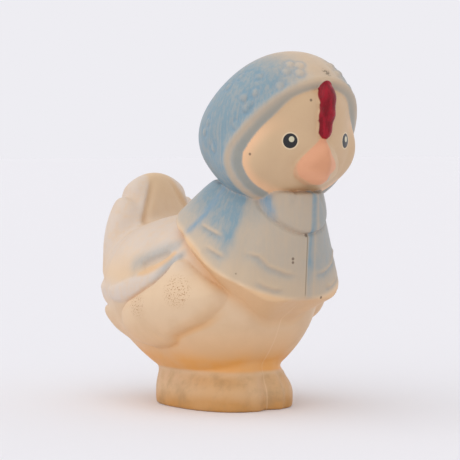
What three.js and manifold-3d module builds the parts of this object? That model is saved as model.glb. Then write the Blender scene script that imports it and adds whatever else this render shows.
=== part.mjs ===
// A hollow rubber squeak toy: a hen in a headscarf and cape, moulded in two halves that are bonded
// at the mid-plane, with a reed squeaker pressed through its sole. Millimetres, +Z up, the hen
// faces -Y, and the origin is on the floor under the middle of the whole toy.
import * as THREE from "three";
import { mergeVertices } from "three/addons/utils/BufferGeometryUtils.js";
import Module from "manifold-3d";

const wasm = await Module();
wasm.setup();

// Rubber skin.
const wall = 2.4; // thickness of the moulded rubber
const soleThickness = 4; // the sole is moulded thicker, to grip the squeaker
const bondLine = 0.3; // cement between the two moulded halves

// Foot: one plinth for both feet, pinched to a waist under the belly.
const footHeight = 15; // floor to waist
const footHalfWidth = 22.8;
const footHalfLength = 29;
const waistHalfWidth = 18.5;
const waistHalfLength = 27;
const toeShift = 2.6; // the plinth's middle lies this far ahead of the waist's
const footGroove = 2.2; // depth of the groove between the two feet
const toeGroove = 0.6; // depth of the groove between two toes

// Belly: a bowl below its widest level, a flatter dome above it.
const bellyHalfWidth = 36.5;
const bellyHalfLength = 45.8;
const bellyRise = 31; // from the waist to the widest level
const bellyShift = 7; // the belly's middle lies this far behind the waist's
const bellyDepth = 41; // from the widest level to where the bowl would close
const backRise = 30; // from the widest level to the top of the back
const bellyCorner = 2.5; // power of the plan: 2 is an ellipse, larger is squarer
const wingRelief = 4.5; // how far the wing's front lobe stands out of the flank
const tierRelief = 1; // height of the feather tiers over the wing and round the rump

// Tail: an upright fan whose front is scooped to two flat faces that meet at a crease.
const tailHalfWidth = 24;
const tailHalfLength = 14;
const tailHalfHeight = 33;
const tailHeight = 91.5; // top of the tail above the floor
const tailShift = 43.5; // the tail's middle lies this far behind the waist's
const tailCrease = 75; // height of the crease above the floor
const tailFront = 33.4; // the crease lies this far behind the waist's middle
const tailUpperSlope = 0.3; // how far the face falls back for each millimetre above the crease
const tailLowerSlope = 0.18; // how far it comes forward for each millimetre below the crease

// Cape: a bell from the neck to a hem that dips at the front.
const neckHalfWidth = 16.6;
const neckHalfLength = 25;
const neckDip = 3; // how far the neck's rim falls towards the front
const capeHalfWidth = 31;
const capeHalfLength = 33.5;
const capeHeight = 24.4; // from the middle of the hem to the middle of the neck
const hemRise = 16.4; // from the belly's widest level to the middle of the hem
const hemForward = 23.6; // the middle of the hem lies this far ahead of the waist's
const neckForward = 29; // the middle of the neck lies this far ahead of the waist's
const hemDip = 31; // degrees that the hem falls towards the front
const hemRoot = 35; // how far the hem's underside falls towards its middle
const pleatAngle = 54; // degrees from one pleat groove to the next
const pleatDepth = 1.1; // depth of the side grooves
const frontPleat = 0.5; // depth of the middle groove and its neighbours, as a share of that
const bibHalfWidth = 14.4; // the scarf's knotted end on the cape's front
const bibRelief = 1.3;
const bibDrop = 11.4; // from the bib's widest level to its bottom
const bibRise = 10; // from the bib's widest level to its top, under the chin
const bibLevel = 5.6; // the bib's widest level lies this far below the neck's middle

// Head: an egg that is fuller at the crown, the nape and the chin.
const headHalfWidth = 29.2;
const headHalfLength = 32.7;
const headHalfHeight = 28.4;
const headRise = 21.9; // from the neck's middle to the head's
const headForward = 37; // the head's middle lies this far ahead of the waist's
const headLean = 18.5; // degrees that the long axis climbs towards the front
const crownSwell = 0.062; // extra fullness, as a share of the radius
const crownTurn = 49; // degrees from the front to the middle of the fuller crown
const hoodThickness = 2.4; // the scarf stands this far proud of the face
const cheekSwell = 0.2; // extra width, as a share, low on the cheeks
const cheekTurn = 58; // degrees below level, seen from the front, to the middle of the cheeks
const faceFlat = 3.4; // how far the face is pressed flat between the eyes
const hoodSlope = 40.4; // degrees that the scarf's opening looks down from level
const hoodReach = 33.9; // from the waist's middle to the opening, along its normal
const hoodFront = 41; // the opening turns upright this far ahead of the waist's middle
const lipWidth = 3; // rolled edge round the opening
const lipRelief = 0.7;
const lipSlope = 4.2; // width of the band by which the edge slopes in to the face

// Beak and comb.
const beakHalfWidth = 12;
const beakHeight = 16.5;
const beakReach = 4.2;
const combHalfWidth = 4.1;
const combHeight = 19.5;
const combRelief = 2.9;

// Squeaker, on the axis of the waist.
const barrelRadius = 7.5;
const barrelHeight = 14.5; // from the sole's pocket up
const barrelWall = 1.1;
const flangeWidth = 2.3; // how far each flange stands out of the barrel
const flangeThickness = 1.2;
const fitGap = 0.3; // clearance between pieces that are pressed or seated together
const pocketDepth = 1.9; // pocket in the sole that keeps the outer flange off the floor
const grilleThickness = 0.9;
const grilleHoles = 6; // round one in the middle
const blockHeight = 9.4;
const blockFoot = 2; // solid disc at the bottom of the block
const reedWidth = 5;
const reedThickness = 0.3;
const reedTongue = 5.6; // free length of the reed
const clampLength = 1.8; // length of reed held by the wedge
const reedLift = 4; // degrees that the resting tongue stands off its seat

// Places that several forms share, counted from the middle of the waist on the floor.
const rad = THREE.MathUtils.degToRad;
const lerp = THREE.MathUtils.lerp;
const smoothstep = THREE.MathUtils.smoothstep;
const bellyLevel = footHeight + bellyRise;
const hemMiddle = new THREE.Vector3(0, -hemForward, bellyLevel + hemRise);
const neckMiddle = new THREE.Vector3(0, -neckForward, hemMiddle.z + capeHeight);
const headMiddle = new THREE.Vector3(0, -headForward, neckMiddle.z + headRise);
const hoodPlane = new THREE.Vector3(0, Math.cos(rad(hoodSlope)), Math.sin(rad(hoodSlope)));
const sideways = new THREE.Vector3(1, 0, 0);
const faceInset = new THREE.Vector3(1.3, 0.9, 0.3).multiplyScalar(hoodThickness);
const turnPlane = hoodPlane.clone().add(new THREE.Vector3(0, 1, 0)).normalize();
const turnHeight = (hoodReach + hoodFront * hoodPlane.y) / hoodPlane.z;
const turnReach = turnHeight * turnPlane.z - hoodFront * turnPlane.y - 1;

// Turns a closed three.js geometry into a solid, its shared vertices merged by place alone.
function solid(geometry) {
  const bare = new THREE.BufferGeometry();
  bare.setAttribute("position", geometry.getAttribute("position"));
  bare.setIndex(geometry.index);
  const merged = mergeVertices(bare, 1e-3);
  return new wasm.Manifold(
    new wasm.Mesh({
      numProp: 3,
      vertProperties: merged.getAttribute("position").array,
      triVerts: new Uint32Array(merged.index.array),
    }),
  );
}

// Moves each vertex of a geometry by a rule.
function moulded(geometry, rule) {
  const position = geometry.getAttribute("position");
  const point = new THREE.Vector3();
  for (let i = 0; i < position.count; i++) {
    point.fromBufferAttribute(position, i);
    rule(point);
    position.setXYZ(i, point.x, point.y, point.z);
  }
  return geometry;
}

function ball(across, up) {
  return new THREE.SphereGeometry(1, across, up).rotateX(Math.PI / 2);
}

function drum(across, up) {
  return new THREE.CylinderGeometry(1, 1, 1, across, up).rotateX(Math.PI / 2);
}

function block(sizes, middle) {
  return solid(new THREE.BoxGeometry(...sizes).translate(...middle));
}

function joined(solids) {
  return solids.reduce((whole, next) => whole.add(next));
}

// A sine or cosine turned into that of a squarer outline.
function squared(value, power) {
  return Math.sign(value) * Math.abs(value) ** (2 / power);
}

function dent(distance, halfWidth) {
  return Math.exp(-((distance / halfWidth) ** 2));
}

// Foot, from the floor to a little above the waist.
function foot(grow, across, up) {
  return moulded(drum(across, up), (p) => {
    const height = (p.z + 0.5) * (footHeight + 4);
    const share = Math.min(1, height / footHeight);
    const flare = share > 0.35 ? Math.sin(((1 - share) / 0.65) * (Math.PI / 2)) : 1;
    const tuck = share < 0.13 ? 0.3 * (1 - share / 0.13) : 0;
    const angle = Math.atan2(p.x, -p.y);
    const radius = Math.hypot(p.x, p.y);
    const groove = footGroove * dent(angle, 0.11) + toeGroove * dent(Math.abs(angle) - 0.36, 0.08);
    const out = grow - tuck - groove * Math.min(1, 0.35 + flare);
    const halfWidth = lerp(waistHalfWidth, footHalfWidth, flare) + out;
    const halfLength = lerp(waistHalfLength, footHalfLength, flare) + out;
    p.set(
      squared(Math.sin(angle), bellyCorner) * halfWidth * radius,
      -squared(Math.cos(angle), bellyCorner) * halfLength * radius - toeShift * flare,
      height,
    );
  });
}

// A point of the belly's surface: angle from the front, height above the widest level.
function bellyPoint(target, angle, rise, grow) {
  const power = rise < 0 ? 1.65 : 2.1;
  const full = (rise < 0 ? bellyDepth : backRise) + grow;
  const share = Math.min(1, Math.abs(rise) / full);
  const reach = (1 - share ** power) ** (1 / power);
  const middle = bellyShift + Math.min(0, rise) * 0.15;
  return target.set(
    squared(Math.sin(angle), bellyCorner) * reach * (bellyHalfWidth + grow),
    middle - squared(Math.cos(angle), bellyCorner) * reach * (bellyHalfLength + grow),
    bellyLevel + rise,
  );
}

function belly(grow, across, up) {
  return moulded(ball(across, up), (p) => {
    const level = THREE.MathUtils.clamp(p.z, -1, 1);
    const power = level < 0 ? 1.65 : 2.1;
    const full = (level < 0 ? bellyDepth : backRise) + grow;
    bellyPoint(p, Math.atan2(p.x, -p.y), squared(level, power) * full, grow);
  });
}

// A feather that follows the flank: its middle as an angle from the front and a height from the
// widest level, its half sizes, how far it climbs forward, and how far it stands out.
function feather(angle, level, halfAngle, halfHeight, climb, relief) {
  return moulded(ball(18, 6).rotateY(Math.PI / 2), (p) => {
    const round = Math.hypot(p.y, p.z);
    const around = Math.atan2(p.z, p.y);
    const along = squared(Math.cos(around), 2.6) * round;
    const up = squared(Math.sin(around), 2.6) * round;
    bellyPoint(p, rad(angle + along * halfAngle), level + up * halfHeight - along * climb, p.x * relief);
  });
}

function tail(grow, across, up) {
  const shape = ball(across, up);
  shape.scale(tailHalfWidth + grow, tailHalfLength + grow, tailHalfHeight + grow);
  shape.translate(0, tailShift, tailHeight - tailHalfHeight);
  const crease = new THREE.Vector3(0, tailFront, tailCrease);
  let fan = solid(shape);
  for (const slope of [tailUpperSlope, tailLowerSlope]) {
    const behind = new THREE.Vector3(0, 1, -slope).normalize();
    fan = fan.trimByPlane(behind.toArray(), crease.dot(behind) - grow);
  }
  return fan;
}

// Cape: t runs from the neck to the hem; its grooves part it into panels with rounded hems, and
// the middle of its bottom disc is drawn down, so that the hem's underside slopes to the belly.
function cape(grow, across, up, pleats) {
  return moulded(drum(across, up), (p) => {
    const t = 0.5 - p.z;
    const radius = Math.hypot(p.x, p.y);
    const angle = Math.atan2(p.x, -p.y);
    const turns = Math.abs(angle) / rad(pleatAngle);
    const off = Math.abs(turns - Math.round(turns));
    const depth = pleats * pleatDepth * (turns < 1.5 ? frontPleat : 1);
    const out = grow - depth * dent(off, 0.11) * (0.35 + 0.65 * t);
    const root = t > 0.99 ? hemRoot * (1 + grow / capeHalfWidth) * (1 - radius) : 0;
    const widen = t ** 0.9;
    const dipped = capeHalfLength * Math.sin(rad(hemDip)) * widen;
    const halfWidth = lerp(neckHalfWidth, capeHalfWidth, widen) + out;
    const halfLength = lerp(neckHalfLength, capeHalfLength * Math.cos(rad(hemDip)), widen) + out;
    const front = squared(Math.cos(angle), 2 + 0.4 * t);
    const panel = Math.sin(Math.PI * off) ** 2 * t * t;
    const scallop = pleats * 2 * pleatDepth * panel * Math.max(0, Math.cos(angle * 0.8));
    const level = lerp(neckMiddle.z - front * neckDip * radius, hemMiddle.z, t);
    p.set(
      squared(Math.sin(angle), 2 + 0.4 * t) * halfWidth * radius,
      lerp(neckMiddle.y, hemMiddle.y, t) - front * halfLength * radius,
      level - (front * dipped + scallop) * radius - root,
    );
  });
}

// The scarf's end: a rounded tongue raised on the front of the cape.
function bib() {
  const tongue = new THREE.Shape();
  tongue.absellipse(0, 0, bibHalfWidth, bibDrop, Math.PI, 2 * Math.PI, false, 0);
  tongue.absellipse(0, 0, bibHalfWidth, bibRise, 0, Math.PI, false, 0);
  const depth = neckHalfLength;
  const cutter = new THREE.ExtrudeGeometry(tongue, { depth, bevelEnabled: false, curveSegments: 12 });
  cutter.rotateX(Math.PI / 2);
  cutter.translate(0, neckMiddle.y - neckHalfLength * 0.6, neckMiddle.z - bibLevel);
  return solid(cutter).intersect(solid(cape(bibRelief, 32, 3, 0)));
}

// Head surface with its poles on the opening's normal; inset shrinks its width, length and height,
// and flat presses in its front between the eyes and below the comb.
function head(inset, across, up, grow = 0, flat = 0) {
  const lean = rad(headLean);
  const sizes = new THREE.Vector3(headHalfWidth, headHalfLength, headHalfHeight).sub(inset).addScalar(grow);
  const pole = hoodPlane.clone().applyAxisAngle(sideways, lean).multiply(sizes);
  const cheek = new THREE.Vector3(0, -Math.cos(rad(cheekTurn)), -Math.sin(rad(cheekTurn)));
  cheek.applyAxisAngle(sideways, lean);
  const shape = ball(across, up).rotateX(Math.atan2(pole.z, pole.y) - Math.PI / 2);
  return moulded(shape, (p) => {
    const turn = Math.atan2(p.z, -p.y);
    const full = 1 + crownSwell * (1 - p.x * p.x) * Math.cos(3 * (turn - rad(crownTurn)));
    const low = THREE.MathUtils.clamp(p.dot(cheek) / 0.75, 0, 1);
    p.multiply(sizes).multiplyScalar(full);
    p.x *= 1 + cheekSwell * Math.sin((low * Math.PI) / 2) ** 2;
    p.applyAxisAngle(sideways, -lean);
    const middle = 1 - smoothstep(Math.abs(p.x), 16, 25);
    p.y += flat * middle * (1 - smoothstep(p.z, -2, 13)) * smoothstep(-p.y, 4, 16);
    p.add(headMiddle);
  });
}

// Room in front of the scarf's opening: it slopes over the face, then turns upright beside the
// cheeks.
function opening(back) {
  const room = block([4 * headHalfWidth, 4 * headHalfLength, 4 * headHalfHeight], headMiddle.toArray());
  return room
    .trimByPlane(hoodPlane.clone().negate().toArray(), -hoodReach - back)
    .trimByPlane(turnPlane.clone().negate().toArray(), -turnReach - back)
    .trimByPlane([0, -1, 0], hoodFront - back);
}

// Scarf: the head behind its opening, with a rolled lip round the opening and a band that steps
// down from the lip to the face.
function hood() {
  const none = new THREE.Vector3();
  const lip = solid(head(none, 32, 20, lipRelief)).intersect(opening(lipWidth));
  const scarf = solid(head(none, 32, 20)).add(lip).subtract(opening(0));
  const steps = [1 / 3, 2 / 3].map((share) => {
    const inset = faceInset.clone().multiplyScalar(share);
    return solid(head(inset, 28, 18, 0, faceFlat * share)).subtract(opening(-share * lipSlope));
  });
  return joined([scarf, ...steps]);
}

const face = solid(head(faceInset, 28, 18, 0, faceFlat));
const beakLevel = headMiddle.z - 13;
const combTop = headMiddle.z + 17;

// How far forward the face comes at a given height on the mid-plane.
function faceFront(height) {
  const slab = block([1, 4 * headHalfLength, 1], [0, headMiddle.y, height]);
  return face.intersect(slab).boundingBox().min[1];
}

function beak() {
  const root = faceFront(beakLevel);
  return moulded(ball(18, 10).rotateX(Math.PI / 2), (p) => {
    const round = Math.hypot(p.x, p.z);
    const around = Math.atan2(p.z, p.x);
    const power = p.z > 0 ? 1.25 : 2.8;
    const across = squared(Math.cos(around), power) * round;
    const up = squared(Math.sin(around), power) * round;
    const ridge = p.y < 0 ? 1 - 0.35 * Math.abs(across) : 1;
    const lean = (up < 0 ? -2.6 : -1) * up;
    p.set(
      across * beakHalfWidth,
      root + 2 + p.y * (beakReach + 1) * ridge + lean,
      beakLevel + (up * beakHeight) / 2,
    );
  });
}

// Three lobes down the middle of the forehead, joined by a low ridge.
function comb() {
  const lobes = [
    { share: 0.44, width: 1 },
    { share: 0.3, width: 0.96 },
    { share: 0.26, width: 0.76 },
  ];
  let top = combTop;
  const lump = (middle, half, width, relief) => {
    const lobe = ball(12, 8);
    lobe.scale(width * combHalfWidth, relief + 1.5, half);
    lobe.translate(0, faceFront(middle) + 1.5, middle);
    return solid(lobe);
  };
  const parts = lobes.map(({ share, width }) => {
    const half = (share * combHeight) / 2;
    top -= half;
    const lobe = lump(top, half * 1.6, width, combRelief);
    top -= half;
    return lobe;
  });
  parts.push(lump(combTop - combHeight / 2, combHeight / 2, 0.75, combRelief * 0.7));
  return joined(parts);
}

// Outer surface of the rubber.
const feathers = [
  feather(61, -3.6, 25, 14.4, 0, wingRelief),
  feather(85, -11.5, 17, 10.8, 0, wingRelief * 0.9),
  feather(80, 8, 24, 4.6, 5, tierRelief * 1.3),
  feather(92, 15.5, 23, 5, 4, tierRelief * 0.6),
  feather(150, -2.5, 34, 4.2, 0, tierRelief * 0.6),
  feather(150, -14.5, 34, 6.5, 0, tierRelief * 2.8),
].map(solid);
const mirrored = feathers.map((one) => one.mirror([1, 0, 0]));
const outside = joined([
  solid(foot(0, 48, 7)),
  solid(belly(0, 32, 18)),
  tail(0, 20, 12),
  solid(cape(0, 60, 4, 1)),
  bib(),
  hood(),
  face,
  solid(beak()),
  comb(),
  ...feathers,
  ...mirrored,
]);

// Hollow inside, one wall thickness in from every form.
const inside = joined([
  solid(foot(-wall, 20, 3)).trimByPlane([0, 0, 1], soleThickness),
  solid(belly(-wall, 20, 10)),
  tail(-wall, 12, 8),
  solid(cape(-wall - pleatDepth, 20, 2, 0)),
  solid(head(faceInset, 20, 12, -wall, faceFlat)),
]);

// Squeaker: barrel, grille, reed block, reed and wedge, each turned about the waist's axis.
function turned(profile, across = 28) {
  const points = profile.map(([radius, height]) => new THREE.Vector2(radius, height));
  return solid(new THREE.LatheGeometry(points, across).rotateX(Math.PI / 2));
}

function rod(radius, bottom, top, across = 28) {
  return turned([[0, bottom], [radius, bottom], [radius, top], [0, top]], across);
}

const flangeRadius = barrelRadius + flangeWidth;
const boreRadius = barrelRadius - barrelWall;
const barrelBottom = pocketDepth - flangeThickness - fitGap;
const barrelTop = barrelBottom + barrelHeight;
const gripBottom = soleThickness + fitGap;
const gripTop = gripBottom + flangeThickness;
const plugRadius = boreRadius - fitGap;
const ledgeTop = barrelBottom + grilleThickness + 2 * fitGap + 0.8;
const blockBottom = ledgeTop + fitGap;
const blockTop = blockBottom + blockHeight;
const reedRoot = blockTop - clampLength;
const seat = -1; // the flat face under the reed, measured across the barrel

const barrel = turned([
  [boreRadius, barrelTop],
  [boreRadius, ledgeTop],
  [boreRadius - 1.4, ledgeTop],
  [boreRadius - 1.4, ledgeTop - 0.8],
  [boreRadius, ledgeTop - 0.8],
  [boreRadius, barrelBottom],
  [flangeRadius, barrelBottom],
  [flangeRadius, barrelBottom + flangeThickness],
  [barrelRadius, barrelBottom + flangeThickness],
  [barrelRadius, gripBottom],
  [flangeRadius - 0.6, gripBottom],
  [flangeRadius - 0.2, gripBottom + 0.4],
  [barrelRadius + 0.6, gripTop],
  [barrelRadius, gripTop + 0.6],
  [barrelRadius, barrelTop - 0.5],
  [barrelRadius - 0.4, barrelTop],
  [boreRadius, barrelTop],
]);

const grilleBottom = barrelBottom + fitGap;
const grilleHole = rod(1.05, -1, barrelTop, 10);
let grille = rod(plugRadius, grilleBottom, grilleBottom + grilleThickness).subtract(grilleHole);
for (let i = 0; i < grilleHoles; i++) {
  const turn = (i / grilleHoles) * 2 * Math.PI;
  const reach = plugRadius * 0.6;
  const place = [reach * Math.cos(turn), reach * Math.sin(turn), 0];
  grille = grille.subtract(grilleHole.translate(place));
}

const clampRoom = reedThickness + 2 * fitGap;
const troughLength = reedTongue + blockFoot + 2;
const reedBlock = rod(plugRadius, blockBottom, blockTop)
  .subtract(block([20, 20, blockHeight], [0, seat - 10, blockBottom + blockFoot + blockHeight / 2]))
  .subtract(
    block([reedWidth - 2, 2.4, troughLength], [0, seat + 1.19, reedRoot - 1.2 - troughLength / 2]),
  );
const reedWedge = rod(plugRadius, reedRoot + fitGap, blockTop).trimByPlane([0, -1, 0], clampRoom - seat);

// A strip with a straight clamped end and a tongue that leans off the block.
function reedStrip() {
  const lean = rad(reedLift);
  const tip = new THREE.Vector2(-reedTongue * Math.sin(lean), -reedTongue * Math.cos(lean));
  const outline = new THREE.Shape();
  outline.moveTo(0, clampLength);
  outline.lineTo(0, 0);
  outline.lineTo(tip.x, tip.y);
  outline.lineTo(tip.x - reedThickness * Math.cos(lean), tip.y + reedThickness * Math.sin(lean));
  outline.lineTo(-reedThickness, 0);
  outline.lineTo(-reedThickness, clampLength);
  const strip = new THREE.ExtrudeGeometry(outline, { depth: reedWidth, bevelEnabled: false });
  const upright = new THREE.Matrix4().makeBasis(
    new THREE.Vector3(0, 1, 0),
    new THREE.Vector3(0, 0, 1),
    new THREE.Vector3(1, 0, 0),
  );
  strip.applyMatrix4(upright);
  strip.translate(-reedWidth / 2, seat - fitGap, reedRoot);
  return solid(strip);
}

// The sole's bore grips the barrel between its two flanges.
const bore = rod(barrelRadius + fitGap, -1, soleThickness + 1).add(
  rod(flangeRadius + fitGap, -1, pocketDepth),
);
const skin = outside.subtract(inside).subtract(bore);
const skinLeft = skin.trimByPlane([1, 0, 0], bondLine / 2);
const skinRight = skin.trimByPlane([-1, 0, 0], bondLine / 2);

function meshOf(name, made, [color, roughness, metalness]) {
  const { vertProperties, triVerts } = made.getMesh();
  const geometry = new THREE.BufferGeometry();
  geometry.setAttribute("position", new THREE.BufferAttribute(vertProperties, 3));
  geometry.setIndex(new THREE.BufferAttribute(triVerts, 1));
  const mesh = new THREE.Mesh(geometry, new THREE.MeshStandardMaterial({ color, roughness, metalness }));
  mesh.name = name;
  return mesh;
}

const rubber = [0xe3c79f, 0.55, 0];
const tinplate = [0xb9b7b0, 0.35, 1];
const ivory = [0xe9e4d6, 0.45, 0];
const brass = [0xc8a24e, 0.3, 1];

const hen = new THREE.Group();
hen.name = "squeak_hen";
hen.add(
  meshOf("skin_left", skinLeft, rubber),
  meshOf("skin_right", skinRight, rubber),
  meshOf("squeaker_barrel", barrel, tinplate),
  meshOf("squeaker_grille", grille, tinplate),
  meshOf("reed_block", reedBlock, ivory),
  meshOf("reed", reedStrip(), brass),
  meshOf("reed_wedge", reedWedge, ivory),
);

// The origin goes under the middle of the whole toy.
const box = new THREE.Box3().setFromObject(hen);
hen.position.y = -(box.min.y + box.max.y) / 2;

export default hen;
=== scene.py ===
import math

import bpy
import numpy as np
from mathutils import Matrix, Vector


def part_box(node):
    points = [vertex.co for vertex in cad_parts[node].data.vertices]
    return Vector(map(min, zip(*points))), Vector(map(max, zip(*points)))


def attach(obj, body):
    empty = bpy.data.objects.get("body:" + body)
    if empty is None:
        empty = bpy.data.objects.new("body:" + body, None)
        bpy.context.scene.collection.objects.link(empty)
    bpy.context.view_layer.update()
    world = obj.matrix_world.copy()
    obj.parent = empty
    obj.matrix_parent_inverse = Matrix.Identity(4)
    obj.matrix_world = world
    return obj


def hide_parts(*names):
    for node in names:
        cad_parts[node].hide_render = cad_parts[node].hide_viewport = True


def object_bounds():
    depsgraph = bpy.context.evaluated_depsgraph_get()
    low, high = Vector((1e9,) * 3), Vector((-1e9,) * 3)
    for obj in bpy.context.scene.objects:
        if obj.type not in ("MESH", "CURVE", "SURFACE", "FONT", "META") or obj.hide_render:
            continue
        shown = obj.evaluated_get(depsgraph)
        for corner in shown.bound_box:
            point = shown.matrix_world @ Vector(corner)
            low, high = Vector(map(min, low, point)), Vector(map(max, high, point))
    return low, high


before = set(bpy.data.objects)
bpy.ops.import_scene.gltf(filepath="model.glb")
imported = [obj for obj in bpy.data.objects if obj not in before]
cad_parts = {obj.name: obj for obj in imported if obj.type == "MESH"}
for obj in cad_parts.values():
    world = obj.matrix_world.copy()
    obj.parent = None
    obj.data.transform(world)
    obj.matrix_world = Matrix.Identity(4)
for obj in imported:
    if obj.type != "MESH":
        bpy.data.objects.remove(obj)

import openvdb
from mathutils import Vector

cad_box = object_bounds()

# Feet. Both feet are one plinth of the toy's soft rubber, pinched to an ankle under the belly, with
# a groove between them. The whole toy is one hollow moulding, so its forms are melted into a field
# of distances, half a toy at a time, in millimetres from the squeaker's axis on the floor.

# STEP is the width of a cell of the field, BAND how many cells round a surface are measured.
STEP = 0.6
BAND = 10
low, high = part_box("squeaker_barrel")
axis_y = 500 * (low.y + high.y)
cad_low, cad_high = (1000 * v for v in cad_box)
grid_low = np.array([-4.0, cad_low.y - axis_y - 6, -6.0])
grid_high = np.array([cad_high.x + 6, cad_high.y - axis_y + 6, cad_high.z + 6])
origin = np.floor(grid_low / STEP).astype(int)
counts = np.ceil(grid_high / STEP).astype(int) - origin + 1


def new_field():
    return np.full(counts, BAND * STEP, np.float32)


def closed(rows):
    """A surface of rows of points round an axis, its first and last row drawn to one point."""
    rows = np.asarray(rows, float)
    m, n = rows.shape[:2]
    points = np.vstack([rows[0].mean(0), rows[1:-1].reshape(-1, 3), rows[-1].mean(0)])
    at = lambda i, j: 1 + (i - 1) * n + j % n
    j = np.arange(n)
    quads = np.vstack([
        np.stack([at(i, j), at(i + 1, j), at(i + 1, j + 1), at(i, j + 1)], 1) for i in range(1, m - 2)
    ])
    last = len(points) - 1
    ends = np.vstack([
        np.stack([0 * j, at(1, j), at(1, j + 1)], 1),
        np.stack([0 * j + last, at(m - 2, j + 1), at(m - 2, j)], 1),
    ])
    return points, ends, quads


def drum(across=240, up=90):
    """Radius, height and turn over a cylinder of height 1, its end discs in 8 rings."""
    ring = np.linspace(0, 1, 9)
    radius = np.concatenate([ring[:-1], np.ones(up), ring[::-1][1:]])
    height = np.concatenate([np.zeros(8), np.linspace(0, 1, up), np.ones(8)])
    turn = np.arange(across) * 2 * np.pi / across
    turn = np.where(turn > np.pi, turn - 2 * np.pi, turn)
    shape = (len(radius), across)
    return [np.broadcast_to(v, shape) for v in (radius[:, None], height[:, None], turn[None, :])]


def field_of(x, y, z):
    """Distance to a closed form over the grid cells near it: the cells' slices and their values."""
    points, ends, quads = closed(np.stack([x, y, z], -1))
    first = np.maximum(np.floor(points.min(0) / STEP).astype(int) - BAND - origin, 0)
    last = np.minimum(np.ceil(points.max(0) / STEP).astype(int) + BAND - origin, counts - 1)
    grid = openvdb.FloatGrid.createLevelSetFromPolygons(
        points.astype(np.float32),
        triangles=ends.astype(np.uint32),
        quads=quads.astype(np.uint32),
        transform=openvdb.createLinearTransform(voxelSize=STEP),
        halfWidth=BAND,
    )
    values = np.empty(last - first + 1, np.float32)
    grid.copyToArray(values, ijk=tuple(int(v) for v in first + origin))
    return tuple(slice(a, b + 1) for a, b in zip(first, last)), values


def squared(value, power):
    """A sine or cosine bent so that a circle turns towards a rounded square."""
    return np.sign(value) * np.abs(value) ** (2 / power)


def lerp(a, b, t):
    return a + (b - a) * t


def dent(distance, half_width):
    """1 on a line and falling to 0 beside it."""
    return np.exp(-((distance / half_width) ** 2))


PLAN_POWER = 2.5
FOOT_HEIGHT = 15
FOOT_HALF = (22.8, 29)
ANKLE_HALF = (18.5, 27)
TOE_SHIFT = 2.6
FLOOR_GAP = 0.02
GROOVE_DEPTH = 2.2
RIM_LEVEL = 14.2
radius, height, turn = drum()
height = FLOOR_GAP + height * (FOOT_HEIGHT + 4)
share = np.minimum(1, height / FOOT_HEIGHT)
flare = np.where(share > 0.35, np.sin((1 - share) / 0.65 * np.pi / 2), 1)
groove = GROOVE_DEPTH * dent(turn, 0.11) + 0.5 * dent(np.abs(turn) - 0.32, 0.07)
rim = 0.55 * dent(height - RIM_LEVEL, 1.3)
out = rim - 0.3 * (1 - share / 0.13) * (share < 0.13) - groove * np.minimum(1, 0.35 + flare)
cells, values = field_of(
    squared(np.sin(turn), PLAN_POWER) * (lerp(ANKLE_HALF[0], FOOT_HALF[0], flare) + out) * radius,
    -squared(np.cos(turn), PLAN_POWER) * (lerp(ANKLE_HALF[1], FOOT_HALF[1], flare) + out) * radius
    - TOE_SHIFT * flare,
    height,
)
skin = new_field()
skin[cells] = values

# Belly and wings. Moulded in one with the feet. The belly is a bowl that turns into the flat back;
# each folded wing is a pillow of two lobes raised on the flank, with a covert band over it and a
# soft hollow above that.
BELLY_HALF = (36.5, 45.8)
BELLY_LEVEL = FOOT_HEIGHT + 31
BELLY_SHIFT = 7
BELLY_DEPTH = 41
BACK_RISE = 30
BELLY_POWER = 1.65
BACK_POWER = 2.1
WING_RELIEF = 4.6
wing_outline = [
    (-15.1, 59.4), (-24.2, 54.1), (-31.2, 48.9), (-32.5, 45.5), (-30.7, 41.2), (-25.3, 35.8),
    (-17.3, 32.0), (-11.8, 29.6), (-8.7, 26.6), (-3.5, 24.6), (5.5, 23.9), (14.5, 26.2),
    (18.5, 31.0), (16.5, 37.5), (11.5, 41.8), (6.4, 43.9), (0.3, 46.8), (-5.8, 50.0), (-10.9, 54.3),
]
lens_outline = [
    (6.8, 52.6), (1.6, 55.6), (-4.9, 58.0), (-9.6, 62.2), (-11.2, 59.0), (-4.9, 54.9), (1.5, 52.4),
]
covert_outline = [
    (-12.5, 61.5), (-14.5, 59.2), (-10.9, 55.3), (-5.8, 51.0), (0.3, 47.8), (6.4, 44.9), (13.0, 42.2),
    (21.0, 41.0), (27.5, 42.5), (27.3, 46.4), (20.0, 48.3), (9.0, 51.6), (1.5, 54.6), (-5.0, 58.2),
]


def ball(across, up):
    """Unit directions in rows from pole to pole of the Z axis, the first turn facing -Y."""
    turn = np.arange(across) * 2 * np.pi / across
    turn, rise = np.meshgrid(turn, np.linspace(-0.5, 0.5, up) * np.pi)
    return np.cos(rise) * np.sin(turn), -np.cos(rise) * np.cos(turn), np.sin(rise)


def melt(a, b, soft):
    """The nearer of two fields, with a fillet about as wide as soft where they meet."""
    near = np.maximum(soft - np.abs(a - b), 0) / soft
    return np.minimum(a, b) - near * near * soft / 4


def places(cells):
    """The x, y, z of a slice's cells, as arrays that broadcast."""
    along = [(np.arange(s.start, s.stop) + origin[i]) * STEP for i, s in enumerate(cells)]
    return [v.reshape([-1 if k == i else 1 for k in range(3)]) for i, v in enumerate(along)]


def smooth(value, start, end):
    """0 below start, 1 above end, and a soft step between them."""
    t = np.clip((value - start) / (end - start), 0, 1)
    return t * t * (3 - 2 * t)


def rounded(outline, steps=8):
    """A closed smooth curve through the outline's points."""
    p = np.array(outline, float)
    a, b, c, d = (np.roll(p, k, 0)[:, None] for k in (1, 0, -1, -2))
    t = (np.arange(steps) / steps)[None, :, None]
    curve = 2 * b + (c - a) * t + (2 * a - 5 * b + 4 * c - d) * t**2 + (3 * b - a - 3 * c + d) * t**3
    return curve.reshape(-1, 2) / 2


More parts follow.
